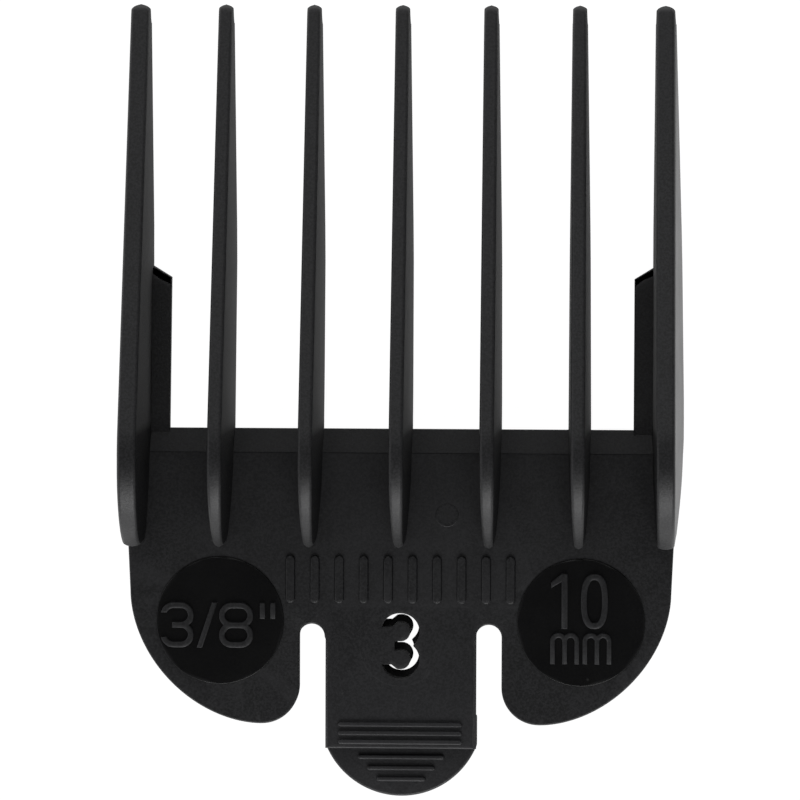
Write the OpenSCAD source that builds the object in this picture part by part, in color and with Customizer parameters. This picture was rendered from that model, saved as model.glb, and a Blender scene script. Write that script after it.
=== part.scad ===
// Clip-on guard comb for a hair clipper.
// +X is across the comb, +Y runs towards the tine tips, +Z points to the scalp side.
// The origin is the middle of the flat seat that lies on the clipper blade.

/* [Plate] */
// Width of the plate
comb_w = 47.1; // [46:0.1:48]
// Thickness of the plate
plate_t = 2; // [1.6:0.1:2.4]
// Front edge of the plate, ahead of the seat's middle
front_y = 5.25; // [4.5:0.05:6.5]
// Length of the bevelled strip that leads hair over the front edge
ramp_l = 2; // [1.2:0.1:2.6]
// Height of the front edge below the bevel
ramp_edge = 0.7; // [0.5:0.05:1]
// Thumb side end of the two round lobes, behind the seat's middle
lobe_back = 20; // [19.5:0.1:20.5]

/* [Tines] */
// Pitch of the five middle tines
pitch = 7.62; // [7.4:0.02:7.7]
// Distance of an end tine's middle from the centre line
end_x = 22.6; // [22.4:0.05:22.7]
// Width of a middle tine's outer edge
tine_w = 1.2; // [1:0.05:1.4]
// Width of an end tine's outer edge
end_w = 1.58; // [1.4:0.02:1.7]
// Tip of the tines, ahead of the seat's middle
tip_y = 41.5; // [38:0.05:44]
// Height of the tines' outer edge above the plate's front edge
crest_h = 13; // [11:0.5:15]
// Drop of the outer edge towards the tips
crest_slope = 18.4; // [17:0.1:19]
// Mould draft of the tines' sides
draft = 1.7; // [1:0.1:2.2]
// Mould draft of the end tines' outer sides
end_draft = 3.5; // [2:0.1:4]
// Radius of the round heel where a tine rises from the plate
heel_r = 8.2; // [7.8:0.1:8.6]
// Lean of a tine towards the middle, in degrees for each place that it stands from it
lean = 0.11; // [0:0.01:0.15]
// Radius of a tine's tip, seen from the side
tip_r = 1; // [0.8:0.05:1.1]
// Depth of the tines and the thumb lip below the seat
foot_z = 2.2; // [1.8:0.1:2.6]

/* [Blade rests] */
// Distance of a rest's inner edge from the centre line
ledge_x = 19.85; // [19.5:0.05:20.2]
// Thickness of a rest
ledge_t = 1; // [0.8:0.05:1.2]
// Front end of a rest beside its tine
ledge_y = 19.5; // [17:0.1:20.5]
// How much shorter a rest is at its inner edge
ledge_cut = 1.2; // [0.5:0.1:2]

/* [Release tab] */
// Width of the tab at the blade side
tab_w = 12.95; // [12:0.05:13.2]
// How much each side of the tab draws in towards the top
tab_bevel = 0.2; // [0.1:0.05:0.5]
// Line where the tab bends, behind the seat's middle
bend_y = 9.95; // [9.9:0.05:10.1]
// Width of the slot on each side of the tab
slot_w = 2.2; // [1.8:0.05:2.4]
// Round end of the slots, behind the seat's middle
slot_y = 11.4; // [11.2:0.05:11.6]
// Face that catches the blade's back edge, behind the seat's middle
catch_y = 19.85; // [19:0.05:20]
// Back of the tab where it steps down to the lip
step_y = 22.25; // [21.5:0.05:22.4]
// Radius of the round thumb end, seen from above
end_r = 7; // [6.8:0.05:7.4]
// Width of the thumb end across its straight sides
thumb_w = 13; // [12.9:0.05:13.4]
// Depth of the thumb arc's centre behind the origin
end_mid = 19.5; // [19.4:0.05:19.8]
// Nose that holds the blade, standing ahead of the catch face
nose = 0.4; // [0.2:0.05:0.5]
// Thickness of the thumb lip
lip_t = 1.5; // [1.2:0.1:1.8]

/* [Marks] */
// Distance of a size disc's middle from the centre line
disc_x = 15.45; // [15:0.05:15.8]
// Middle of the size discs, behind the seat's middle
disc_y = 11.15; // [10.5:0.05:11.5]
// Radius of the size discs
disc_r = 5.47; // [5:0.01:5.6]
// Height of the discs above the plate
disc_h = 0.1; // [0.05:0.05:0.3]
// Height of the raised marks
mark_h = 0.25; // [0.15:0.05:0.3]
// Height of the cut numeral in the tab
cut_h = 5.6; // [5:0.1:5.8]
// Number of ribs in the band across the plate
band_ribs = 10; // [6:1:12]
// Number of ribs across the tab's end
tab_ribs = 3; // [2:1:4]
// Number of ribs on the thumb lip
lip_ribs = 3; // [2:1:3]

/* [Hidden] */
$fn = 64;
far = 60;
half_w = comb_w / 2;
ramp_y = front_y - ramp_l;
plastic = [0.11, 0.11, 0.12];
gloss = [0.05, 0.05, 0.055];

// Lobes: a squared-off quarter round outside, a true quarter round beside the slot
lobe_x = 12;
lobe_top = 8.7;
lobe_power = 1.85;
lobe_steps = 16;
slot_x = tab_w / 2 + slot_w;
slot_mid = slot_y + slot_w / 2;
corner_r = 3.2;
lobe_rx = half_w - 0.4 - lobe_x;
lobe_ry = lobe_back - lobe_top;

// Heel: a round that touches the crest line and meets the plate behind it
tangent_y = front_y + 0.95;
tangent_z = crest_h - 0.95 * tan(crest_slope);
heel_y = tangent_y - heel_r * sin(crest_slope);
heel_z = tangent_z - heel_r * cos(crest_slope);
heel_back = heel_y - heel_r;
tip_cy = tip_y - tip_r;
tip_cz = crest_h - (tip_cy - front_y) * tan(crest_slope) - tip_r / cos(crest_slope);
knee_y = ledge_y;
knee_l = 3;

// Marks
stroke = 0.47;
cut_stroke = 0.8;
cut_y = 13.25;
inch_y = 11.55;
mm_num_y = 9.3;
mm_unit_y = 13.35;
band_y = 7.55;
band_w = 19.6;
rib_w = 0.75;
rib_l = 4.1;
tab_rib_l = 10.6;
tab_rib_w = 0.4;
tab_rib_pitch = 0.75;
tab_rib_mid = 20.75;
lip_rib_l = 7.4;
lip_rib_pitch = 0.95;

function lobe_point(t) = [
    lobe_x + lobe_rx * pow(cos(t), 2 / lobe_power),
    -lobe_top - lobe_ry * pow(sin(t), 2 / lobe_power)
];

// Slab whose outline lies in YZ and whose thickness runs along X
module side_slab(x0, x1) {
    translate([x0, 0, 0]) rotate([90, 0, 90]) linear_extrude(x1 - x0) children();
}

// ---- flat shapes for the marks ----

// Pill with its long side along X
module pill(w, h) {
    square([w - h, h], center = true);
    for (s = [-1, 1]) translate([s * (w - h) / 2, 0]) circle(d = h);
}

module pill_ring(w, h, s) {
    difference() {
        pill(w, h);
        pill(w - 2 * s, h - 2 * s);
    }
}

module numeral_8(w, h, s) {
    bowl = (h + s) / 2;
    for (m = [-1, 1]) translate([0, m * (h - bowl) / 2]) pill_ring(w, bowl, s);
}

module numeral_3(w, h, s) {
    bowl = (h + s) / 2;
    difference() {
        numeral_8(w, h, s);
        translate([-w, -bowl / 2]) square([0.85 * w, bowl]);
    }
}

module numeral_0(w, h, s) {
    rotate(90) pill_ring(h, w, s);
}

module numeral_1(w, h, s) {
    translate([w / 2 - s, -h / 2]) square([s, h]);
    polygon([
        [w / 2 - s, h / 2], [w / 2 - s, h / 2 - 1.3 * s],
        [-w / 2, h / 2 - 2.4 * s], [-w / 2, h / 2 - 1.5 * s]
    ]);
}

module arch(w, h, s) {
    difference() {
        union() {
            translate([0, h / 2 - w / 2]) circle(d = w);
            translate([-w / 2, -h / 2]) square([w, h - w / 2]);
        }
        translate([0, h / 2 - w / 2]) circle(d = w - 2 * s);
        translate([s - w / 2, -h / 2 - s]) square([w - 2 * s, h - w / 2 + s]);
    }
}

module unit_m(w, h, s) {
    for (m = [-1, 1]) translate([m * (w - s) / 4, 0]) arch((w + s) / 2, h, s);
}

module slash(w, h, s) {
    polygon([[-w / 2, -h / 2], [s - w / 2, -h / 2], [w / 2, h / 2], [w / 2 - s, h / 2]]);
}

// Row of upright ribs with round ends
module rib_row(count, width, w, l) {
    for (i = [0 : count - 1])
        translate([(i / (count - 1) - 0.5) * (width - w), 0]) rotate(90) pill(l, w);
}

// ---- plate ----

module plate_outline() {
    overlap = 1;
    for (m = [0, 1]) mirror([m, 0]) difference() {
        polygon(concat(
            [[-overlap, ramp_y], [half_w, ramp_y], [half_w, 0]],
            [for (i = [0 : lobe_steps]) lobe_point(90 * i / lobe_steps)],
            [[tab_w / 2, -lobe_back], [tab_w / 2, -bend_y], [-overlap, -bend_y]]
        ));
        // Slot beside the tab, with its round end
        translate([slot_x - slot_w / 2, -slot_mid]) circle(d = slot_w);
        translate([tab_w / 2 - 1, -slot_mid - far]) square([slot_w + 1, far]);
        // Round the lobe's corner beside the slot
        difference() {
            translate([slot_x - 1, -lobe_back - 1]) square([corner_r + 1, corner_r + 1]);
            translate([slot_x + corner_r, corner_r - lobe_back]) circle(r = corner_r);
        }
    }
}

module base_plate() {
    color(plastic) difference() {
        linear_extrude(plate_t) plate_outline();
        for (m = [-1, 1]) translate([m * disc_x, -disc_y, -1]) cylinder(r = disc_r, h = plate_t + 2);
    }
}

// A size disc, which is smoother than the plate and stands a little above it
module size_disc(side) {
    color(gloss) translate([side * disc_x, -disc_y, 0]) cylinder(r = disc_r, h = plate_t + disc_h);
}

module hair_ramp() {
    color(plastic) side_slab(-half_w, half_w)
        polygon([[ramp_y, 0], [front_y, 0], [front_y, ramp_edge], [ramp_y, plate_t]]);
}

// ---- tines ----

module tine_profile() {
    difference() {
        union() {
            intersection() {
                translate([heel_y, heel_z]) circle(r = heel_r, $fn = 96);
                translate([-far, heel_z]) square(2 * far);
            }
            translate([tip_cy, tip_cz]) circle(r = tip_r);
            polygon([
                [heel_back, 0], [front_y, 0], [knee_y, -foot_z], [knee_y + knee_l, -foot_z],
                [tip_cy, tip_cz - tip_r],
                [tip_cy + tip_r * sin(crest_slope), tip_cz + tip_r * cos(crest_slope)],
                [tangent_y, tangent_z], [heel_y, heel_z], [heel_back, heel_z]
            ]);
        }
        // Stand on the plate and its bevel, and stop flush with the front edge below them
        polygon([
            [-far, -far], [-far, plate_t], [ramp_y, plate_t],
            [front_y, ramp_edge], [front_y, -far]
        ]);
    }
}

// Bar that follows the crest line and widens below it by the draft on each side
module draft_wedge(w, draft_left, draft_right) {
    over = 1;
    deep = 24;
    translate([0, front_y, crest_h]) rotate([-crest_slope, 0, 0]) rotate([90, 0, 0])
        linear_extrude(2 * far, center = true) polygon([
            [over * tan(draft_left) - w / 2, over], [w / 2 - over * tan(draft_right), over],
            [w / 2 + deep * tan(draft_right), -deep], [-w / 2 - deep * tan(draft_left), -deep]
        ]);
}

// Seen from above, the tip is round and the sides draw in to a narrow, round foot.
// An end tine's foot stays wider on its outer side, +1 or -1.
module tine_plan(w, side) {
    off = 0.175 * side;
    foot_r = 0.5 * w + abs(off);
    tip_round = 0.6 * w;
    translate([-far / 2, ramp_y]) square([far, tip_y - ramp_y - tip_round]);
    translate([0, tip_y - tip_round]) circle(r = tip_round);
    translate([off, heel_back + foot_r]) circle(r = foot_r);
    polygon([
        [off - foot_r, heel_back + foot_r], [off + foot_r, heel_back + foot_r], [w, ramp_y], [-w, ramp_y]
    ]);
}

// Turns what stands at x towards the middle, about the front edge of the plate
module leaning(x) {
    translate([x, front_y, 0]) rotate([0, 0, lean * x / pitch]) translate([0, -front_y, 0]) children();
}

module tine(x, w, draft_left, draft_right, side = 0) {
    color(plastic) leaning(x) intersection() {
        side_slab(-3, 3) tine_profile();
        draft_wedge(w, draft_left, draft_right);
        translate([0, 0, -far]) linear_extrude(2 * far) tine_plan(w, side);
    }
}

module middle_tine(i) {
    tine(i * pitch, tine_w, draft, draft);
}

// A rest runs forward beside an end tine, under the corner of the blade's toothed edge
module blade_ledge(side) {
    outer = end_x - end_w / 2;
    on_ramp = ramp_l * (ledge_t - ramp_edge) / (plate_t - ramp_edge);
    color(plastic) mirror([side > 0 ? 0 : 1, 0, 0]) difference() {
        side_slab(ledge_x, end_x) polygon([
            [front_y, 0], [knee_y, -foot_z], [knee_y, ledge_t - foot_z],
            [front_y, ledge_t], [front_y - on_ramp, ledge_t], [front_y, ramp_edge]
        ]);
        // Slanted front corner
        translate([0, 0, -far]) linear_extrude(2 * far) polygon([
            [ledge_x - 1, ledge_y - ledge_cut - ledge_cut / (outer - ledge_x)],
            [outer, ledge_y], [outer, ledge_y + 1], [ledge_x - 1, ledge_y + 1]
        ]);
        // Stop at the end tine's inner side
        leaning(end_x) draft_wedge(end_w, draft, end_draft);
    }
}

// ---- release tab ----

module release_tab() {
    top_w = tab_w - 2 * tab_bevel;
    color(plastic) difference() {
        union() {
            // Root between the slots' round ends
            translate([-tab_w / 2, -slot_mid, 0]) cube([tab_w, slot_mid - bend_y, plate_t]);
            // Tongue with bevelled sides
            translate([0, -slot_mid, 0]) rotate([90, 0, 0]) linear_extrude(step_y - slot_mid) polygon([
                [-tab_w / 2, 0], [tab_w / 2, 0], [tab_w / 2, 0.2 * plate_t], [top_w / 2, plate_t],
                [-top_w / 2, plate_t], [-tab_w / 2, 0.2 * plate_t]
            ]);
        }
        // The back corners follow the round thumb end
        translate([0, 0, -1]) linear_extrude(plate_t + 2) difference() {
            translate([-tab_w, -step_y - 1]) square([2 * tab_w, step_y + 1 - catch_y]);
            thumb_end();
        }
        // Size numeral cut right through
        translate([0, -cut_y, -1]) linear_extrude(plate_t + 2) numeral_3(3.3, cut_h, cut_stroke);
    }
}

// Outline of the thumb end: a half disc behind the catch face
module thumb_end() {
    intersection() {
        translate([0, -end_mid]) circle(r = end_r, $fn = 128);
        translate([-thumb_w / 2, -end_mid - end_r - 1]) square([thumb_w, end_mid + end_r + 1 - catch_y]);
    }
    translate([-thumb_w / 2, -catch_y - nose]) square([thumb_w, 3 * nose]);
}

module catch_block() {
    color(plastic) intersection() {
        side_slab(-thumb_w / 2, thumb_w / 2) polygon([
            [-step_y, 0], [-step_y, -foot_z], [nose / 2 - catch_y, -foot_z],
            [nose - catch_y, -0.75 * foot_z], [-catch_y, -0.5 * foot_z], [-catch_y, 0]
        ]);
        translate([0, 0, -far]) linear_extrude(2 * far) thumb_end();
    }
}

module thumb_lip() {
    color(plastic) translate([0, 0, -foot_z]) linear_extrude(lip_t) intersection() {
        thumb_end();
        translate([-end_r, -step_y - end_r]) square([2 * end_r, end_r]);
    }
}

// ---- raised marks ----

module size_mark_inch() {
    color(gloss) translate([-disc_x, -inch_y, plate_t + disc_h]) linear_extrude(mark_h) {
        translate([-3.65, 0]) numeral_3(2.8, 3.85, stroke);
        translate([-1.1, 0]) slash(1.7, 3.85, 0.42);
        translate([1.4, 0]) numeral_8(2.9, 3.85, stroke);
        for (q = [3.65, 4.55]) translate([q, 1.25]) square([0.42, 1.35], center = true);
    }
}

module size_mark_mm() {
    color(gloss) translate([disc_x, 0, plate_t + disc_h]) linear_extrude(mark_h) {
        translate([-1.85, -mm_num_y]) numeral_1(1.4, 4.7, 0.5);
        translate([1.15, -mm_num_y]) numeral_0(2.3, 4.7, 0.5);
        for (m = [-1, 1]) translate([m * 1.38, -mm_unit_y]) unit_m(2.45, 2.65, 0.38);
    }
}

module rib_band() {
    color(plastic) translate([0, -band_y, plate_t]) linear_extrude(mark_h)
        rib_row(band_ribs, band_w, rib_w, rib_l);
}

module tab_grip_ribs() {
    color(plastic) translate([0, -tab_rib_mid, plate_t]) linear_extrude(mark_h)
        for (i = [0 : tab_ribs - 1])
            translate([0, (i - (tab_ribs - 1) / 2) * tab_rib_pitch]) pill(tab_rib_l, tab_rib_w);
}

module lip_grip_ribs() {
    color(plastic) translate([0, -step_y, lip_t - foot_z]) linear_extrude(mark_h)
        for (i = [0 : lip_ribs - 1])
            translate([0, -0.85 - i * lip_rib_pitch]) pill(lip_rib_l - 1.6 * i, tab_rib_w);
}

base_plate();
hair_ramp();
tine(-end_x, end_w, end_draft, draft, -1);  // tine_1
middle_tine(-2);  // tine_2
middle_tine(-1);  // tine_3
middle_tine(0);  // tine_4
middle_tine(1);  // tine_5
middle_tine(2);  // tine_6
tine(end_x, end_w, draft, end_draft, 1);  // tine_7
blade_ledge(-1);  // blade_ledge_left
blade_ledge(1);  // blade_ledge_right
size_disc(-1);  // size_disc_left
size_disc(1);  // size_disc_right
size_mark_inch();
size_mark_mm();
rib_band();
release_tab();
catch_block();
thumb_lip();
tab_grip_ribs();
lip_grip_ribs();
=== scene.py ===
import math

import bpy
import numpy as np
from mathutils import Matrix, Vector
from mathutils.geometry import delaunay_2d_cdt


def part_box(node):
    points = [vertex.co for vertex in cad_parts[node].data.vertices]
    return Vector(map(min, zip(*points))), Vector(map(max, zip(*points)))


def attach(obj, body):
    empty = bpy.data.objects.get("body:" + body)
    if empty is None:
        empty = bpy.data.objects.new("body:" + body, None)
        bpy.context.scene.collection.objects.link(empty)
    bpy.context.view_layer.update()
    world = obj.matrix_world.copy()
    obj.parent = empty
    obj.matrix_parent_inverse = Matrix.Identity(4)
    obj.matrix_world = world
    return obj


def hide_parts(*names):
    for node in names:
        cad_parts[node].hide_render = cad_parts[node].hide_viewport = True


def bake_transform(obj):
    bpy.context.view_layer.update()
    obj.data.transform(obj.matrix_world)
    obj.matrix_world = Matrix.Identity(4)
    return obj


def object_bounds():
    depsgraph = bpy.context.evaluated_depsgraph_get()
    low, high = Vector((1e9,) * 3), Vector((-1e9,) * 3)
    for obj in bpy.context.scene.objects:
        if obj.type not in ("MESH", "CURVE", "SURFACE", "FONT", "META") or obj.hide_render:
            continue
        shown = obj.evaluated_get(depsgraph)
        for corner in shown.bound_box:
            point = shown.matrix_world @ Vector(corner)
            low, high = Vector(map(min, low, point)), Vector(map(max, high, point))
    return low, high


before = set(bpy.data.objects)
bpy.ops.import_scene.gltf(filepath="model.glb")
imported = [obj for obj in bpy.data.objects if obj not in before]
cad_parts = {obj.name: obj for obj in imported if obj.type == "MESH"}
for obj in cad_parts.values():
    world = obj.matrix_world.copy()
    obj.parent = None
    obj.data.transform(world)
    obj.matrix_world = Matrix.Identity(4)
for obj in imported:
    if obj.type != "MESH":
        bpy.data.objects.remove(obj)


def as_lists(box):
    return [[float(v) for v in corner] for corner in box]


cad_box = as_lists(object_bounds())

# Every length below is in millimetres; meshes are scaled to metres as they are made.
MM = 0.001


def cad(node):
    low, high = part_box(node)
    return [v / MM for v in low], [v / MM for v in high]


# ---------------------------------------------------------------- sizes from the frame
plate_low, plate_high = cad("base_plate")
PLATE_T = plate_high[2]
HALF_W = plate_high[0]
LOBE_BACK = -plate_low[1]
FRONT_Y = cad("hair_ramp")[1][1]
RAMP_Y = cad("hair_ramp")[0][1]
RAMP_EDGE = 0.7
TIP_Y = cad("tine_4")[1][1]
TAB_HALF = cad("release_tab")[1][0]
TAB_ROOT = -cad("release_tab")[1][1]
STEP_Y = -cad("release_tab")[0][1]
FOOT_Z = -cad("catch_block")[0][2]
CATCH_HALF = cad("catch_block")[1][0]
LIP_BACK = -cad("thumb_lip")[0][1]
LIP_TOP = cad("thumb_lip")[1][2]
DISC_X = (cad("size_disc_right")[0][0] + cad("size_disc_right")[1][0]) / 2
DISC_Y = (cad("size_disc_right")[0][1] + cad("size_disc_right")[1][1]) / 2
DISC_R = (cad("size_disc_right")[1][0] - cad("size_disc_right")[0][0]) / 2
DISC_TOP = cad("size_disc_right")[1][2]
LEDGE_X = cad("blade_ledge_right")[0][0]
LEDGE_Y = cad("blade_ledge_right")[1][1]
LEDGE_T = cad("blade_ledge_right")[1][2]
LEDGE_CUT = 1.2
PITCH = 7.62
END_X = 22.6
TINE_W = 1.2
END_W = 1.58
CREST_H = 13.0
SLOPE = math.radians(18.4)
DRAFT = math.tan(math.radians(1.7))
END_DRAFT = math.tan(math.radians(3.5))
HEEL_R = 8.2
TIP_R = 1.0
LEAN = 0.11
KNEE_Y, KNEE_L = 19.5, 3.0
SLOT_W = 2.2
SLOT_MID = 12.5
SLOT_X = TAB_HALF + SLOT_W
CORNER_R = 3.2
MARK_H = cad("rib_band")[1][2] - PLATE_T


# ---------------------------------------------------------------- mesh tools
def arc(cx, cy, r, a0, a1, steps):
    """Points of an arc, angles in degrees, both ends included."""
    return [(cx + r * math.cos(math.radians(a0 + (a1 - a0) * i / steps)),
             cy + r * math.sin(math.radians(a0 + (a1 - a0) * i / steps))) for i in range(steps + 1)]


def area(loop):
    return 0.5 * sum(a[0] * b[1] - b[0] * a[1] for a, b in zip(loop, loop[1:] + loop[:1]))


def ccw(loop):
    return loop if area(loop) > 0 else loop[::-1]


def clean(loop):
    out = [p for i, p in enumerate(loop) if math.dist(p, loop[i - 1]) > 1e-4]
    return out


def resample(loop, step):
    """Splits long edges so that no edge is longer than step."""
    out = []
    for a, b in zip(loop, loop[1:] + loop[:1]):
        n = max(1, math.ceil(math.dist(a, b) / step - 1e-6))
        out += [(a[0] + (b[0] - a[0]) * i / n, a[1] + (b[1] - a[1]) * i / n) for i in range(n)]
    return out


def inset_dirs(loop):
    """Mitred inward direction at each point of a counter-clockwise loop."""
    p = np.array(loop)
    e = np.roll(p, -1, 0) - p
    e /= np.linalg.norm(e, axis=1)[:, None]
    n = np.stack([-e[:, 1], e[:, 0]], 1)
    m = n + np.roll(n, 1, 0)
    m /= np.linalg.norm(m, axis=1)[:, None]
    c = np.clip((m * n).sum(1), 0.45, 1)
    return m / c[:, None]


def inside(points, loops):
    """Even-odd test of points against all loops."""
    x, y = points[:, 0], points[:, 1]
    hit = np.zeros(len(points), bool)
    for loop in loops:
        p = np.array(loop)
        q = np.roll(p, -1, 0)
        for (x0, y0), (x1, y1) in zip(p, q):
            if y0 == y1:
                continue
            cross = (y0 > y) != (y1 > y)
            hit ^= cross & (x < (x1 - x0) * (y - y0) / (y1 - y0) + x0)
    return hit


def cap(loops, grid=None):
    """Triangles over the region between loops, with grid points inside. Returns (points, triangles)."""
    points, edges = [], []
    for loop in loops:
        n = len(points)
        points += [tuple(p) for p in loop]
        edges += [(n + i, n + (i + 1) % len(loop)) for i in range(len(loop))]
    ring = len(points)
    if grid:
        p = np.array(points)
        xs = np.arange(p[:, 0].min() + grid / 2, p[:, 0].max(), grid)
        ys = np.arange(p[:, 1].min() + grid / 2, p[:, 1].max(), grid)
        g = np.array([(x, y) for x in xs for y in ys])
        g = g[inside(g, loops)]
        keep = []
        for q in g:
            if np.min(np.hypot(p[:, 0] - q[0], p[:, 1] - q[1])) > 0.35 * grid:
                keep.append(tuple(q))
        points += keep
    verts, _, tris, origin, _, _ = delaunay_2d_cdt(
        [Vector(p) for p in points], edges, [], 0, 1e-7)
    for v, o in zip(verts, origin):
        if not o:
            raise ValueError(f"crossing at {v}")
    back = [o[0] if o else 0 for o in origin]
    centres = np.array([[sum(verts[i][k] for i in t) / len(t) for k in (0, 1)] for t in tris])
    good = inside(centres, loops)
    out = []
    for t, g in zip(tris, good):
        if g:
            t = [back[i] for i in t]
            a, b, c = (points[i] for i in t)
            if (b[0] - a[0]) * (c[1] - a[1]) - (b[1] - a[1]) * (c[0] - a[0]) < 0:
                t = t[::-1]
            out.append(tuple(t))
    return points, out, ring


def slab(outer, holes, rim, hole_rim=None, grid=None, weight=None, shift=None):
    """A plate with a shaped rim. rim is [(inset, z), ...] from the bottom up, and hole_rim the same for
    the holes, where the inset goes into the material; its third number scales shift, a sideways move of
    the hole. weight(x, y) scales an outer inset. Returns (verts, faces)."""
    outer = clean(ccw(outer))
    holes = [clean(ccw(h))[::-1] for h in holes]
    hole_rim = hole_rim or rim
    verts, faces, caps = [], [], [[], []]
    for k, loop in enumerate([outer] + holes):
        dirs = inset_dirs(loop)
        if weight and k == 0:
            dirs = dirs * np.array([weight(*p) for p in loop])[:, None]
        levels = rim if k == 0 else hole_rim
        base = len(verts)
        m = len(loop)
        for r, level in enumerate(levels):
            p = np.array(loop) + dirs * level[0]
            if k and shift and len(level) > 2:
                p = p + np.array(shift) * level[2]
            verts += [(x, y, level[1]) for x, y in p]
            if r == 0:
                caps[0].append(([tuple(q) for q in p], base))
            if r == len(levels) - 1:
                caps[1].append(([tuple(q) for q in p], base + r * m))
        for r in range(len(levels) - 1):
            for i in range(m):
                j = (i + 1) % m
                a, b = base + r * m + i, base + r * m + j
                faces.append((a, b, b + m, a + m))
    for side, z in ((0, rim[0][1]), (1, rim[-1][1])):
        loops = [c[0] for c in caps[side]]
        points, tris, ring = cap(loops, grid)
        index = []
        for loop, start in caps[side]:
            index += [start + i for i in range(len(loop))]
        extra = points[ring:]
        index += [len(verts) + i for i in range(len(extra))]
        verts += [(x, y, z) for x, y in extra]
        for t in tris:
            t = tuple(index[i] for i in t)
            faces.append(t if side else t[::-1])
    return verts, faces


def round_rim(z0, z1, low, high, steps=4):
    """Rim of a plate from z0 to z1 with its edges rounded by low and high."""
    out = []
    if low > 0:
        out += [(low - low * math.sin(a), z0 + low - low * math.cos(a))
                for a in [math.pi / 2 * i / steps for i in range(steps + 1)]]
    else:
        out += [(0, z0)]
    if high > 0:
        out += [(high - high * math.cos(a), z1 - high + high * math.sin(a))
                for a in [math.pi / 2 * i / steps for i in range(steps + 1)]]
    else:
        out += [(0, z1)]
    return out


def join(*parts):
    verts, faces = [], []
    for v, f in parts:
        n = len(verts)
        verts += list(v)
        faces += [tuple(n + i for i in face) for face in f]
    return verts, faces


def build(name, mesh, material, body, nodes, smooth=40, move=(0, 0, 0), matrix=None, bend=None):
    verts, faces = mesh
    data = bpy.data.meshes.new(name)
    points = [Vector(v) + Vector(move) for v in verts]
    if matrix:
        points = [matrix @ p for p in points]
    data.from_pydata([p * MM for p in points], [], faces)
    data.validate()
    data.materials.append(material)
    obj = bpy.data.objects.new(name, data)
    bpy.context.scene.collection.objects.link(obj)
    bpy.context.view_layer.objects.active = obj
    bpy.ops.object.select_all(action="DESELECT")
    obj.select_set(True)
    bpy.ops.object.mode_set(mode="EDIT")
    bpy.ops.mesh.select_all(action="SELECT")
    bpy.ops.mesh.remove_doubles(threshold=2e-8)
    bpy.ops.mesh.normals_make_consistent(inside=False)
    bpy.ops.object.mode_set(mode="OBJECT")
    data.shade_smooth()
    data.set_sharp_from_angle(angle=math.radians(smooth))
    weighted = obj.modifiers.new("even_normals", "WEIGHTED_NORMAL")
    weighted.keep_sharp = True
    weighted.weight = 80
    if bend:
        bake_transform(obj)
    else:
        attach(obj, body)
    if nodes:
        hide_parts(*nodes)
    return obj


# ---------------------------------------------------------------- materials
def shader_tools(tree):
    """Helpers that add a shader node and give its inputs either values or links."""
    def add(kind, inputs=None, **settings):
        node = tree.nodes.new("ShaderNode" + kind)
        for key, value in settings.items():
            setattr(node, key, value)
        for key, value in (inputs or {}).items():
            if isinstance(value, bpy.types.NodeSocket):
                tree.links.new(value, node.inputs[key])
            else:
                node.inputs[key].default_value = value
        return node

    def calc(operation, *values):
        return add("Math", dict(enumerate(values)), operation=operation).outputs[0]

    def spread(value, from_min, from_max, to_min, to_max, curve="LINEAR"):
        ends = {"From Min": from_min, "From Max": from_max, "To Min": to_min, "To Max": to_max}
        return add("MapRange", {"Value": value, **ends}, interpolation_type=curve).outputs["Result"]

    def tint(colour, factor, over):
        node = add("Mix", {"Factor": factor, "A": colour, "B": (*over, 1)}, data_type="RGBA")
        return node.outputs["Result"]

    return add, calc, spread, tint


SPECULAR = 0.5
DUST = (0.09, 0.088, 0.085)
SIDE_ROUGH = 0.42
FLOW_DEPTH = 0.000005
EDGE_HIGHLIGHT_TONE = (0.035, 0.035, 0.037)
TAB_LIGHT_TONE = (0.036, 0.036, 0.039)


# The last argument scales the dust specks, which are real, together with the painted edge highlight and the
# painted light on the tab.
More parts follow.
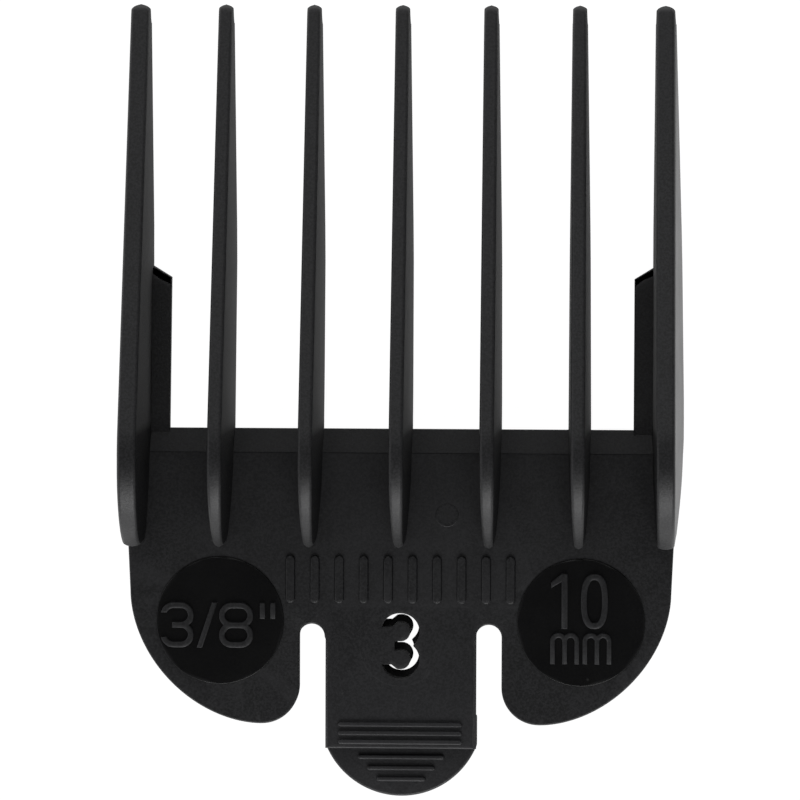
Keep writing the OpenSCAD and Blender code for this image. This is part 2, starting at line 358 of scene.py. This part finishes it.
def plastic(name, dark, light, rough_low, rough_high, grain, dust_and_painted_light=1.0):
    """Black moulded plastic: fine grain, soft flow marks, pale dust specks, slightly paler edges as a
    painted highlight, a paler tab as painted light and painted shade on the tines' inner sides over the
    plate.
    """
    material = bpy.data.materials.new(name)
    material.use_nodes = True
    tree = material.node_tree
    add, calc, spread, tint = shader_tools(tree)
    where = add("TexCoord").outputs["Object"]
    surface = add("NewGeometry")
    place = add("SeparateXYZ", {0: where})
    facing = add("SeparateXYZ", {0: surface.outputs["Normal"]})
    out_by = calc("ABSOLUTE", place.outputs["X"])
    flow = add("TexNoise", {"Vector": where, "Scale": 260, "Detail": 5, "Roughness": 0.6}).outputs["Fac"]
    fine = add("TexNoise", {"Vector": where, "Scale": 5200, "Detail": 3, "Roughness": 0.65}).outputs["Fac"]

    ramp = add("ValToRGB", {"Fac": calc("MULTIPLY_ADD", fine, 0.85, calc("MULTIPLY", flow, 0.15))})
    for element, position, colour in zip(ramp.color_ramp.elements, (0.41, 0.59), (dark, light)):
        element.position = position
        element.color = (*colour, 1)

    # Pale dust specks: the middle of a few cells
    cells = add("TexVoronoi", {"Vector": where, "Scale": 620})
    pick = add("SeparateColor", {"Color": cells.outputs["Color"]})
    speck = calc("MULTIPLY", calc("GREATER_THAN", pick.outputs[0], 0.93),
                 spread(cells.outputs["Distance"], 0.03, 0.10, 0.55 * dust_and_painted_light, 0.0, "SMOOTHSTEP"))
    colour = tint(ramp.outputs["Color"], speck, DUST)

    # Edges are painted a little paler: a painted highlight where the rounded edges catch the light, as in
    # the photo; how much is a guess
    colour = tint(colour, spread(surface.outputs["Pointiness"], 0.505, 0.60, 0.0, 0.35 * dust_and_painted_light), EDGE_HIGHLIGHT_TONE)

    # The release tab is painted a little paler. The release tab is a little paler in the photo. This is
    # painted light: the tab lies clear of the shade the tines cast on the plate. Why isn't known: this
    # tone is fitted to the photo
    on_tab = calc("LESS_THAN", out_by, (TAB_HALF + 0.5) * MM)
    behind = spread(place.outputs["Y"], -20.0 * MM, -9.0 * MM, 0.32 * dust_and_painted_light, 0.0)
    colour = tint(colour, calc("MULTIPLY", on_tab, behind), TAB_LIGHT_TONE)

    # Steep faces are rougher, apart from the comb's outer sides. This is fitted to the photo's tones,
    # not a finish known from the object
    gloss = spread(flow, 0.3, 0.7, rough_low, rough_high)
    coarse = spread(calc("ABSOLUTE", facing.outputs["Z"]), 0.12, 0.62, SIDE_ROUGH, 0.0)
    side_x = END_X + END_W / 2
    inner = spread(out_by, (side_x - 0.3) * MM, side_x * MM, 1.0, 0.0)
    roughness = calc("MULTIPLY_ADD", coarse, inner, gloss)

    # Painted shade: the tines' inner sides reflect less over the plate, fitted to the dark strips in the
    # photo
    is_side = calc("GREATER_THAN", calc("ABSOLUTE", facing.outputs["X"]), 0.9)
    over_plate = spread(place.outputs["Y"], FRONT_Y * MM, (FRONT_Y + 0.8) * MM, 1.0, 0.0)
    side_shade = calc("MULTIPLY", calc("MULTIPLY", is_side, over_plate), inner)
    specular = calc("MULTIPLY_ADD", side_shade, -0.8 * SPECULAR, SPECULAR)

    bump_fine = add("Bump", {"Strength": 1.0, "Distance": grain, "Height": fine})
    bump_flow = add("Bump", {"Strength": 1.0, "Distance": FLOW_DEPTH, "Height": flow,
                             "Normal": bump_fine.outputs["Normal"]})
    shader = tree.nodes["Principled BSDF"]
    shader.inputs["IOR"].default_value = 1.5
    for key, socket in (("Base Color", colour), ("Roughness", roughness), ("Specular IOR Level", specular),
                        ("Normal", bump_flow.outputs["Normal"])):
        tree.links.new(socket, shader.inputs[key])
    return material


COMB = plastic("comb_plastic", (0.0045, 0.0046, 0.0050), (0.0195, 0.0197, 0.0210),
               rough_low=0.42, rough_high=0.47, grain=0.000018)
DISC = plastic("disc_plastic", (0.0030, 0.0030, 0.0031), (0.0050, 0.0050, 0.0051),
               rough_low=0.20, rough_high=0.27, grain=0.000002, dust_and_painted_light=0.4)


# ---------------------------------------------------------------- plate
def lobe_edge(steps=44):
    lobe_x, lobe_top, power = 12.0, 8.7, 1.85
    rx, ry = HALF_W - 0.4 - lobe_x, LOBE_BACK - lobe_top
    out = []
    for i in range(steps + 1):
        t = math.pi / 2 * i / steps
        out.append((lobe_x + rx * max(0.0, math.cos(t)) ** (2 / power),
                    -lobe_top - ry * math.sin(t) ** (2 / power)))
    return out


def plate_outline():
    half = [(0.0, RAMP_Y), (HALF_W, RAMP_Y), (HALF_W, 0.0)]
    half += lobe_edge()
    half += arc(SLOT_X + CORNER_R, CORNER_R - LOBE_BACK, CORNER_R, 270, 180, 16)
    half += arc(SLOT_X - SLOT_W / 2, -SLOT_MID, SLOT_W / 2, 0, 180, 24)
    half += [(TAB_HALF, -TAB_ROOT), (0.0, -TAB_ROOT)]
    left = [(-x, y) for x, y in half[::-1]]
    return clean(half + left)


def plate_weight(x, y):
    if y > RAMP_Y - 0.01:
        return 0.0
    if abs(x) < SLOT_X - SLOT_W / 2 and y > -SLOT_MID - 0.01:
        return min(1.0, max(0.0, (abs(x) - TAB_HALF) / 0.5))
    return 1.0


outline = resample(plate_outline(), 1.5)
recess = [arc(s * DISC_X, DISC_Y, DISC_R, 0, 360, 96)[:-1] for s in (-1, 1)]
plate = slab(outline, recess, round_rim(0, PLATE_T, 0.12, 0.16),
             hole_rim=round_rim(0, PLATE_T, 0.0, 0.02), weight=plate_weight)
build("base_plate_shell", plate, COMB, "guard", ["base_plate"])

# The ramp along the front edge, a hair lower than the plate behind it
STEP = 0.07
ramp = slab([(RAMP_Y - 0.3, 0.0), (FRONT_Y, 0.0), (FRONT_Y, RAMP_EDGE), (RAMP_Y + 0.06, PLATE_T - STEP),
             (RAMP_Y, PLATE_T - STEP), (RAMP_Y - 0.3, PLATE_T - STEP)], [],
            round_rim(-HALF_W, HALF_W, 0.08, 0.08))


def turn_side(mesh):
    """Profile in (Y, Z), thickness along X."""
    v, f = mesh
    return [(z, x, y) for x, y, z in v], f


build("hair_ramp_strip", turn_side(ramp), COMB, "guard", ["hair_ramp"], smooth=25)

# ---------------------------------------------------------------- tines
TAN_Y = FRONT_Y + 0.95
TAN_Z = CREST_H - 0.95 * math.tan(SLOPE)
HEEL_Y = TAN_Y - HEEL_R * math.sin(SLOPE)
HEEL_Z = TAN_Z - HEEL_R * math.cos(SLOPE)
HEEL_BACK = HEEL_Y - HEEL_R
TIP_CY = TIP_Y - TIP_R
TIP_CZ = CREST_H - (TIP_CY - FRONT_Y) * math.tan(SLOPE) - TIP_R / math.cos(SLOPE)
EMBED = 0.35


def floor_z(y):
    """Underside of a tine at y; over the plate it reaches a little into it."""
    if y < RAMP_Y:
        return PLATE_T - EMBED
    if y < FRONT_Y:
        f = (y - RAMP_Y) / (FRONT_Y - RAMP_Y)
        return (PLATE_T - EMBED) * (1 - f) + 0.02 * f
    if y < KNEE_Y:
        return -FOOT_Z * (y - FRONT_Y) / (KNEE_Y - FRONT_Y)
    if y < KNEE_Y + KNEE_L:
        return -FOOT_Z
    f = (y - KNEE_Y - KNEE_L) / (TIP_CY - KNEE_Y - KNEE_L)
    return -FOOT_Z * (1 - f) + (TIP_CZ - TIP_R) * f


def tine_mesh(w, draft_left, draft_right, foot_taper, foot_round):
    z_foot = PLATE_T - EMBED
    # Each station is a crest point, its inward normal and the bottom point below it
    stations = []
    lift = HEEL_Z - z_foot
    for i in range(6):
        z = z_foot + lift * i / 6
        stations.append(((HEEL_BACK, z), (1.0, 0.0), (HEEL_BACK + 0.9 * (i + 1) / 7 + 0.3, z_foot)))
    a1 = math.pi
    a0 = math.pi / 2 - SLOPE
    n = 30
    for i in range(n + 1):
        a = a1 + (a0 - a1) * i / n
        c = (HEEL_Y + HEEL_R * math.cos(a), HEEL_Z + HEEL_R * math.sin(a))
        t = i / n
        yb = (HEEL_BACK + 1.2) * (1 - t) + TAN_Y * t
        stations.append((c, (-math.cos(a), -math.sin(a)), (yb, floor_z(yb))))
    ys = list(np.linspace(TAN_Y, KNEE_Y, 10))[1:] + [21.0, KNEE_Y + KNEE_L] + \
        list(np.linspace(KNEE_Y + KNEE_L, TIP_CY - 0.6, 12))[1:]
    for y in ys:
        stations.append(((y, CREST_H - (y - FRONT_Y) * math.tan(SLOPE)),
                         (-math.sin(SLOPE), -math.cos(SLOPE)), (y, floor_z(y))))
    n = 14
    for i in range(n + 1):
        a = a0 + (-math.pi / 2 - a0) * i / n
        c = (TIP_CY + TIP_R * math.cos(a), TIP_CZ + TIP_R * math.sin(a))
        t = i / n
        yb = TIP_CY - 0.9 + 0.5 * t
        stations.append((c, (-math.cos(a), -math.sin(a)), (yb, floor_z(yb))))

    r = 0.3
    low = 0.12
    foot_r, tip_round = foot_round * w, 0.6 * w
    steps = 7
    levels = 9

    def half(y, z, crest_z, side):
        d = draft_left if side < 0 else draft_right
        taper = 1 - foot_taper * min(1.0, max(0.0, (1.2 - y) / (1.2 - HEEL_BACK))) ** 1.5
        h = taper * w / 2 + max(0.0, crest_z - z) * d
        if y > TIP_Y - tip_round:
            q = y - (TIP_Y - tip_round)
            h = min(h, math.sqrt(max(0.0, tip_round ** 2 - q * q)))
        y_foot = HEEL_BACK + foot_r
        if y < y_foot:
            h *= math.sqrt(max(0.0, 1 - ((y_foot - y) / foot_r) ** 2))
        return h

    rows = []
    for (cy, cz), (ny, nz), (by, bz) in stations:
        span = math.hypot(by - cy, bz - cz)
        rr = min(r, 0.45 * span)
        # Points from the crest down to the bottom, each with the width its rounding takes off
        depth = []
        for j in range(steps + 1):
            a = math.pi / 2 * j / steps
            d = rr * (1 - math.cos(a))
            depth.append((cy + ny * d, cz + nz * d, rr * (1 - math.sin(a))))
        sy, sz, _ = depth[-1]
        ll = min(low, 0.3 * span)
        for j in range(1, levels):
            t = j / levels
            depth.append((sy + (by - sy) * t * (1 - ll / span), sz + (bz - sz) * t * (1 - ll / span), 0.0))
        uy, uz = (by - sy) / max(span, 1e-6), (bz - sz) / max(span, 1e-6)
        for j in range(4):
            a = math.pi / 2 * j / 3
            d = ll * (1 - math.sin(a))
            depth.append((by - uy * d, bz - uz * d, ll * (1 - math.cos(a))))
        ring = []
        for side, seq in ((1, depth), (-1, depth[::-1])):
            for y, z, cut in seq:
                h = half(y, z, cz if cy > HEEL_Y else min(cz, CREST_H), side)
                ring.append((side * max(0.0, h - cut), y, z))
        rows.append(ring)
    verts = [v for ring in rows for v in ring]
    m = len(rows[0])
    faces = []
    for k in range(len(rows) - 1):
        for i in range(m):
            j = (i + 1) % m
            faces.append((k * m + i, k * m + j, (k + 1) * m + j, (k + 1) * m + i))
    for base, flip in ((0, 1), ((len(rows) - 1) * m, 0)):
        half_m = m // 2
        for i in range(half_m - 1):
            face = (base + i, base + i + 1, base + m - 2 - i, base + m - 1 - i)
            faces.append(face[::-1] if flip else face)
    return verts, faces


def lean_about(x):
    return (Matrix.Translation((x, FRONT_Y, 0)) @ Matrix.Rotation(math.radians(LEAN * x / PITCH), 4, "Z")
            @ Matrix.Translation((0, -FRONT_Y, 0)))


places = [-END_X, -2 * PITCH, -PITCH, 0, PITCH, 2 * PITCH, END_X]
for i, x in enumerate(places):
    if i == 0:
        mesh = tine_mesh(END_W, END_DRAFT, DRAFT, 0.08, 0.28)
    elif i == 6:
        mesh = tine_mesh(END_W, DRAFT, END_DRAFT, 0.08, 0.28)
    else:
        mesh = tine_mesh(TINE_W, DRAFT, DRAFT, 0.36, 0.42)
    spin = lean_about(x)
    name = f"tine_{i + 1}"
    low, high = cad(name)
    verts = [[min(max(c, a), b) for c, a, b in zip(spin @ Vector(v), low, high)] for v in mesh[0]]
    build(f"{name}_blade", (verts, mesh[1]), COMB, "guard", [name], smooth=50)

# ---------------------------------------------------------------- blade rests
for side in (-1, 1):
    inner_x = END_X - END_W / 2
    outer_x = inner_x + 0.4
    loop = [(LEDGE_X, FRONT_Y - 0.45), (outer_x, FRONT_Y - 0.45), (outer_x, LEDGE_Y), (inner_x, LEDGE_Y),
            (LEDGE_X, LEDGE_Y - LEDGE_CUT)]
    loop = resample([(side * x, y) for x, y in loop], 1.2)
    v, f = slab(loop, [], round_rim(0, LEDGE_T, 0.08, 0.1), grid=1.5)
    drop = []
    for x, y, z in v:
        if y > FRONT_Y:
            z -= FOOT_Z * (y - FRONT_Y) / (KNEE_Y - FRONT_Y)
        drop.append((x, y, z))
    word = "left" if side < 0 else "right"
    build(f"blade_ledge_{word}_rest", (drop, f), COMB, "guard", [f"blade_ledge_{word}"],
          smooth=35)

# ---------------------------------------------------------------- size discs and their marks
for side in (-1, 1):
    word = "left" if side < 0 else "right"
    ring = arc(side * DISC_X, DISC_Y, DISC_R, 0, 360, 96)[:-1]
    disc = slab(ring, [], [(0.05, 0), (0.0, 0.05), (0.0, PLATE_T - 0.02), (0.012, PLATE_T + 0.05),
                           (0.03, DISC_TOP - 0.012), (0.055, DISC_TOP)])
    build(f"size_disc_{word}_floor", disc, DISC, "guard", [f"size_disc_{word}"], smooth=60)


def glyph_3(w, h, s, clear=0.0):
    """Outline of a 3. clear is a length beside each stroke end that is left without points."""
    bowl = (h + s) / 2
    yc, r = (h - bowl) / 2, bowl / 2
    cx = (w - bowl) / 2
    ri = r - s
    beta = math.degrees(math.asin(min(1, yc / r)))
    out_end = math.degrees(math.asin((s / 2) / r))
    in_end = math.degrees(math.asin(min(1, (s / 2) / ri)))
    top = arc(-cx, yc, r, 180 - out_end, 90, 10) + arc(cx, yc, r, 90, -beta, 16)
    bottom = [(x, -y) for x, y in top[::-1]][1:]
    inner_low = arc(-cx, -yc, ri, 180 + in_end, 270, 10) + arc(cx, -yc, ri, -90, 90, 16)
    inner_low += [(-0.15 * w, -s / 2)]
    inner_up = [(x, -y) for x, y in inner_low[::-1]]
    ends = [top[0], bottom[-1], inner_low[0], inner_up[-1]]
    return [p for p in top + bottom + inner_low + inner_up
            if p in ends or min(math.dist(p, e) for e in ends) > clear]


def glyph_8(w, h, s):
    bowl = (h + s) / 2
    yc, r = (h - bowl) / 2, bowl / 2
    cx = (w - bowl) / 2
    beta = math.degrees(math.asin(min(1, yc / r)))
    right = arc(cx, yc, r, 90, -beta, 16)
    low = [(x, -y) for x, y in right[::-1]][1:]
    half = right + low
    outer = half + [(-x, y) for x, y in half[::-1]]
    holes = [pill_loop(w - 2 * s, bowl - 2 * s, (0, m * yc)) for m in (-1, 1)]
    return outer, holes


def pill_loop(w, h, at=(0, 0), steps=12):
    """Pill with its long side along X, or along Y when h > w."""
    x, y = at
    if w >= h:
        r = h / 2
        d = w / 2 - r
        return arc(x + d, y, r, -90, 90, steps) + arc(x - d, y, r, 90, 270, steps)
    r = w / 2
    d = h / 2 - r
    return arc(x, y + d, r, 0, 180, steps) + arc(x, y - d, r, 180, 360, steps)


def oval_loop(w, h, at=(0, 0), steps=56, power=2.5):
    """Oval a little squarer than an ellipse."""
    out = []
    for i in range(steps):
        a = 2 * math.pi * i / steps
        c, d = math.cos(a), math.sin(a)
        out.append((at[0] + math.copysign(w / 2 * abs(c) ** (2 / power), c),
                    at[1] + math.copysign(h / 2 * abs(d) ** (2 / power), d)))
    return out


def glyph_1(w, h, s):
    return [(w / 2 - s, -h / 2), (w / 2, -h / 2), (w / 2, h / 2), (w / 2 - s, h / 2),
            (-w / 2, h / 2 - 1.5 * s), (-w / 2, h / 2 - 2.4 * s), (w / 2 - s, h / 2 - 1.3 * s)]


def glyph_m(w, h, s):
    wa = (w + s) / 2
    cx, cy = (w - s) / 4, h / 2 - wa / 2
    meet = math.degrees(math.acos(cx / (wa / 2)))
    right = [(s / 2, -h / 2)] + arc(cx, cy, wa / 2 - s, 180, 0, 12) + [(w / 2 - s, -h / 2), (w / 2, -h / 2)]
    right += arc(cx, cy, wa / 2, 0, 180 - meet, 12)
    left = [(-x, y) for x, y in right[::-1]][1:]
    return right + left


def slash(w, h, s):
    return [(-w / 2, -h / 2), (s - w / 2, -h / 2), (w / 2, h / 2), (w / 2 - s, h / 2)]


def at(loop, x, y):
    return [(px + x, py + y) for px, py in loop]


MARK_BASE = DISC_TOP - 0.1
MARK_TOP = DISC_TOP + MARK_H
mark_rim = [(-0.05, MARK_BASE), (-0.03, DISC_TOP + 0.01), (-0.01, DISC_TOP + 0.04),
            (0.0, MARK_TOP - 0.06), (0.015, MARK_TOP - 0.02), (0.05, MARK_TOP)]


def marks(shapes):
    return join(*[slab(outer, holes, mark_rim) for outer, holes in shapes])


STROKE = 0.47
FIGURE_H = 3.85
eight, eight_holes = glyph_8(2.9, FIGURE_H, STROKE)
quote = [(-0.21, -0.675), (0.21, -0.675), (0.21, 0.675), (-0.21, 0.675)]
inch = marks([
    (at(glyph_3(2.8, FIGURE_H, STROKE), -3.65, 0), []),
    (at(slash(1.7, FIGURE_H, 0.42), -1.1, 0), []),
    (at(eight, 1.4, 0), [at(hole, 1.4, 0) for hole in eight_holes]),
    (at(quote, 3.65, 1.25), []), (at(quote, 4.55, 1.25), [])])
build("size_mark_inch_figures", inch, COMB, "guard", ["size_mark_inch"],
      smooth=50, move=(-DISC_X, -11.55, 0))
mm = marks([
    (at(glyph_1(1.4, 4.7, 0.5), -1.85, -9.3), []),
    (oval_loop(2.3, 4.7, (1.15, -9.3)), [oval_loop(1.3, 3.7, (1.15, -9.3))]),
    (at(glyph_m(2.45, 2.65, 0.38), -1.38, -13.35), []), (at(glyph_m(2.45, 2.65, 0.38), 1.38, -13.35), [])])
build("size_mark_mm_figures", mm, COMB, "guard", ["size_mark_mm"],
      smooth=50, move=(DISC_X, 0, 0))


# ---------------------------------------------------------------- ribs
def rib(w, l, x, y, z):
    rim = [(-0.05, z - 0.1), (-0.04, z + 0.01), (-0.01, z + 0.05), (0.01, z + MARK_H - 0.09),
           (0.045, z + MARK_H - 0.025), (0.1, z + MARK_H)]
    return slab(at(pill_loop(w, l), x, y), [], rim)


BAND_Y, BAND_W, RIB_W, RIB_L, RIBS = -7.55, 19.6, 0.75, 4.1, 10
GRIP_W, GRIP_L, GRIP_Y, GRIP_PITCH = 10.6, 0.4, -20.75, 0.75
LIP_RIB_W, LIP_RIB_START, LIP_RIB_PITCH = 7.4, 0.85, 0.95
band_xs = [(i / (RIBS - 1) - 0.5) * (BAND_W - RIB_W) for i in range(RIBS)]
build("rib_band_ribs", join(*[rib(RIB_W, RIB_L, x, BAND_Y, PLATE_T) for x in band_xs]),
      COMB, "guard", ["rib_band"], smooth=50)
build("tab_grip_ribs_end",
      join(*[rib(GRIP_W, GRIP_L, 0, GRIP_Y + i * GRIP_PITCH, PLATE_T) for i in (-1, 0, 1)]),
      COMB, "tab", ["tab_grip_ribs"], smooth=50)
build("lip_grip_ribs_lip",
      join(*[rib(LIP_RIB_W - 1.6 * i, GRIP_L, 0, -STEP_Y - LIP_RIB_START - i * LIP_RIB_PITCH, LIP_TOP)
             for i in range(3)]),
      COMB, "tab", ["lip_grip_ribs"], smooth=50)

# ---------------------------------------------------------------- release tab, catch and lip
CUT_Y = -13.25
CUT = at(glyph_3(3.3, 5.6, 0.8, 0.55), 0, CUT_Y)
BEVEL_LOW = 0.2 * PLATE_T
TAB_BEVEL = 0.2
CATCH_Y = 19.85
END_R = 7.0
END_MID = LIP_BACK - END_R
BEND = ((0, -TAB_ROOT * MM, 0), (0, -13.4 * MM, 0))


def tab_weight(x, y):
    if y > -SLOT_MID + 0.01:
        return 0.0
    return min(1.0, (-SLOT_MID - y + 0.01) / 0.6)


def end_half(y):
    """Half the width of the thumb end at a depth y behind the origin."""
    return min(CATCH_HALF, math.sqrt(max(0.0, END_R ** 2 - (y - END_MID) ** 2)))


tab_side = [(TAB_HALF, -TAB_ROOT), (TAB_HALF, -SLOT_MID), (TAB_HALF, -STEP_Y)]
tab_loop = resample(tab_side + [(-x, y) for x, y in tab_side[::-1]], 0.35)
tab_rim = [(0.05, 0), (0.0, 0.05), (0.0, BEVEL_LOW), (TAB_BEVEL, PLATE_T - 0.10),
           (TAB_BEVEL + 0.012, PLATE_T - 0.05), (TAB_BEVEL + 0.04, PLATE_T - 0.015),
           (TAB_BEVEL + 0.09, PLATE_T)]
# The thin land at the foot of the cut is in the looks only. It is painted shade: it stands in for the
# shaded, dark walls of the cut seen in the photo
cut_rim = [(-0.16, 0, 1), (-0.16, 0.14, 1), (-0.01, 0.20, 0), (0.0, PLATE_T - 0.015, 0), (0.03, PLATE_T, 0)]
tab = slab(tab_loop, [CUT], tab_rim, hole_rim=cut_rim, grid=0.5, weight=tab_weight, shift=(0.05, 0.40))
build("release_tab_tongue", tab, COMB, "tab", ["release_tab"], smooth=50, bend=BEND)


def ring_mark(x, y, radius, width, height):
    """A faint raised ring, crisp outside and soft inside. Its height is a guess."""
    outer = arc(x, y, radius + width / 2, 0, 360, 72)[:-1]
    inner = arc(x, y, radius - width / 2, 0, 360, 72)[:-1]
    top = PLATE_T + height
    rim = [(0.0, PLATE_T - 0.05), (0.0, PLATE_T), (width * 0.12, top - height * 0.3), (width * 0.24, top)]
    soft_rim = [(0.0, PLATE_T - 0.05), (0.0, PLATE_T - 0.001), (width * 0.35, top - height * 0.4),
                (width * 0.7, top)]
    return slab(outer, [inner], rim, hole_rim=soft_rim)


build("tab_boss_ring", ring_mark(0, CUT_Y, 3.25, 0.5, 0.006), COMB, "tab", [],
      smooth=80, bend=BEND)
build("ejector_ring", ring_mark(3.97, -2.0, 0.85, 0.3, 0.010), COMB, "guard", [], smooth=80)

NOSE = 0.4
under = [(-STEP_Y + 0.02, 0.05), (-STEP_Y + 0.02, -FOOT_Z), (NOSE / 2 - CATCH_Y, -FOOT_Z),
         (NOSE - CATCH_Y, -0.75 * FOOT_Z), (-CATCH_Y, -0.5 * FOOT_Z), (-CATCH_Y, 0.05)]
catch_rim = [(0.1, -1.0), (0.03, -0.988), (0.0, -0.97), (0.0, 0.97), (0.03, 0.988), (0.1, 1.0)]
catch = slab(resample(under, 0.5), [], catch_rim, grid=0.6)


def to_end_width(mesh):
    """Spreads a catch profile, -1 to 1 across, to the width of the round thumb end at each depth."""
    v, f = mesh
    out = []
    for y, z, x in v:
        out.append((x * end_half(max(CATCH_Y, -y)), y, z))
    return out, f


build("catch_block_body", to_end_width(catch), COMB, "tab", ["catch_block"], smooth=35)

side_a = math.degrees(math.acos(CATCH_HALF / END_R))
lip_half = [(CATCH_HALF, 0.6 - STEP_Y)] + arc(0, -END_MID, END_R, -side_a, -90, 36)
lip_loop = clean(lip_half + [(-x, y) for x, y in lip_half[::-1]])
lip = slab(lip_loop, [], round_rim(-FOOT_Z, LIP_TOP, 0.25, 0.22, 6))
build("thumb_lip_plate", lip, COMB, "tab", ["thumb_lip"], smooth=50)

# ---------------------------------------------------------------- floor, light and camera
FLOOR_Z = cad_box[0][2]


FLOOR_HALF = 3.0
white = bpy.data.materials.new("floor_white")
white.use_nodes = True
for key, value in (("Base Color", (0.15, 0.15, 0.15, 1)), ("Roughness", 0.9), ("Specular IOR Level", 0.1),
                   ("Emission Color", (1, 1, 1, 1)), ("Emission Strength", 0.99)):
    white.node_tree.nodes["Principled BSDF"].inputs[key].default_value = value
floor_data = bpy.data.meshes.new("floor")
corners = [(x * FLOOR_HALF, y * FLOOR_HALF, FLOOR_Z) for x, y in ((-1, -1), (1, -1), (1, 1), (-1, 1))]
floor_data.from_pydata(corners, [], [(0, 1, 2, 3)])
floor_data.materials.append(white)
floor = bpy.data.objects.new("floor", floor_data)
bpy.context.scene.collection.objects.link(floor)
floor.visible_diffuse = False

# The room is bright at eye level, dark overhead and darker low on the right
SKY = [(0.0, 0.5), (0.45, 0.6), (0.5, 0.95), (0.62, 0.85), (0.80, 0.46), (0.92, 0.16), (1.0, 0.04)]
world = bpy.data.worlds.new("studio")
bpy.context.scene.world = world
world.use_nodes = True
add, calc, spread, tint = shader_tools(world.node_tree)
aim = add("SeparateXYZ", {0: add("TexCoord").outputs["Generated"]})
sky = add("ValToRGB", {"Fac": calc("MULTIPLY_ADD", aim.outputs["Z"], 0.5, 0.5)})
for i, (position, level) in enumerate(SKY):
    element = sky.color_ramp.elements[i] if i < 2 else sky.color_ramp.elements.new(position)
    element.position = position
    element.color = (level, level, level * 1.02, 1)
room = world.node_tree.nodes["Background"]
world.node_tree.links.new(sky.outputs["Color"], room.inputs["Color"])
world.node_tree.links.new(spread(aim.outputs["X"], 0.35, 0.85, 1.0, 0.25), room.inputs["Strength"])


def softbox(name, place, size, power):
    light = bpy.data.lights.new(name, "AREA")
    light.shape = "RECTANGLE"
    light.size, light.size_y = size
    light.energy = power
    obj = bpy.data.objects.new(name, light)
    obj.location = place
    obj.rotation_euler = (Vector((0, 0.007, 0.003)) - Vector(place)).to_track_quat("-Z", "Y").to_euler()
    obj.visible_camera = False
    bpy.context.scene.collection.objects.link(obj)


softbox("softbox_back", (0.05, -0.52, 0.33), (0.5, 0.28), 1.7)
softbox("softbox_front", (0.0, 0.30, 0.50), (0.4, 0.25), 0.20)

# The photo looks straight down, a little from the right and the front
TARGET = Vector((0, 0.007, 0))
DISTANCE = 0.55
PX_PER_MM = 11.674
OFFSET_X, OFFSET_Y = 1.9 / PX_PER_MM * MM, 8.3 / PX_PER_MM * MM
yaw, pitch, roll = math.radians(2.32), math.radians(3.5), math.radians(0.19)
toward = Vector((math.sin(yaw) * math.cos(pitch), math.sin(pitch), math.cos(yaw) * math.cos(pitch)))
level_x = Vector((math.cos(yaw), 0, -math.sin(yaw)))
level_y = toward.cross(level_x)
cam_x = level_x * math.cos(roll) + level_y * math.sin(roll)
cam_y = level_y * math.cos(roll) - level_x * math.sin(roll)
lens = bpy.data.cameras.new("camera")
lens.lens = 288.9
lens.sensor_width = 36
lens.clip_start = 0.01
lens.clip_end = 20
camera = bpy.data.objects.new("camera", lens)
pose = Matrix((cam_x, cam_y, toward)).transposed().to_4x4()
pose.translation = TARGET + toward * DISTANCE - cam_x * OFFSET_X + cam_y * OFFSET_Y
camera.matrix_world = pose
bpy.context.scene.collection.objects.link(camera)
bpy.context.scene.camera = camera
bpy.context.scene.view_settings.view_transform = "Standard"
